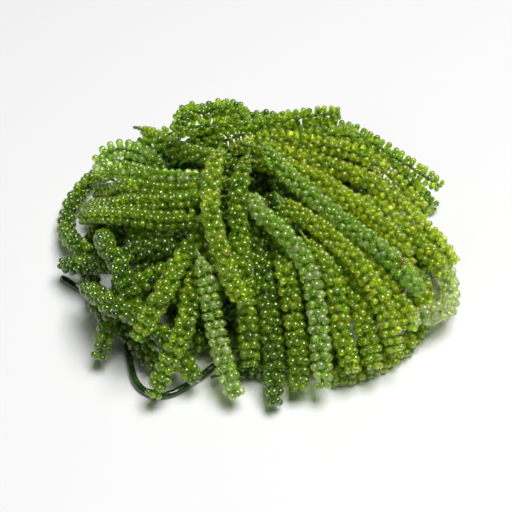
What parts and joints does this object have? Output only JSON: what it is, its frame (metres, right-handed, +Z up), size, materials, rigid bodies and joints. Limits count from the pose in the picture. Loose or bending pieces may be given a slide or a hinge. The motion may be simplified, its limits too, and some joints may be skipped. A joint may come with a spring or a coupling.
{
  "type": "sea grapes seaweed",
  "caption": "Harvested clump of sea grapes seaweed: thin stems set all round with small round green beads, growing from a creeping runner and heaped as they lie on a surface.",
  "frame": {"origin": "under the middle of the clump, on the surface that it rests on", "axes": "+Z up, +X along the clump's longest side, +Y towards its back"},
  "size_m": [0.1462, 0.1434, 0.0465],
  "materials": {
    "green": "bright yellow-green seaweed flesh, wet and translucent",
    "pale": "pale, clearer green seaweed flesh, wet and translucent",
    "dark": "dark green smooth runner, wet"
  },
  "bodies": {
    "root": {"runner": "dark", "nest_frond_1": "green", "nest_frond_2": "green", "nest_frond_3": "green", "nest_frond_4": "green", "nest_frond_5": "green", "nest_frond_6": "green", "nest_frond_7": "green", "nest_frond_8": "green", "nest_frond_9": "green", "nest_frond_10": "green", "nest_frond_11": "green", "core_frond_1": "green", "core_frond_2": "green", "core_frond_3": "green", "core_frond_4": "green", "core_frond_5": "green", "core_frond_6": "green", "core_frond_7": "green", "core_frond_8": "green", "core_frond_9": "green", "core_frond_10": "green", "core_frond_11": "green", "core_frond_12": "green", "core_frond_13": "green", "right_foot": "green", "right_rim": "pale", "left_rim": "green", "front_left_end": "green", "left_reach": "green", "left_tangle_high": "green", "left_tangle_low": "green", "back_rim": "green", "back_right_rim": "green", "front_cross": "green", "front_left_fall": "green", "front_fall": "green", "front_pale_fall": "pale", "front_right_fall": "green", "front_right_sweep": "green", "right_arc_low": "green", "right_arc_outer": "green", "right_arc_front": "green", "back_top_arc": "green", "right_arc_back": "green", "right_arc_high": "green", "right_arc_middle": "green", "front_twin_right": "green", "front_twin_left": "green", "right_arc_inner": "green", "front_pale_edge": "pale", "left_low": "green", "left_middle": "green", "left_high": "green", "left_stub": "green", "left_loop": "pale", "front_left_tress": "green", "front_tress": "green", "ridge": "pale", "crown_curl": "green"}
  },
  "joints": []
}
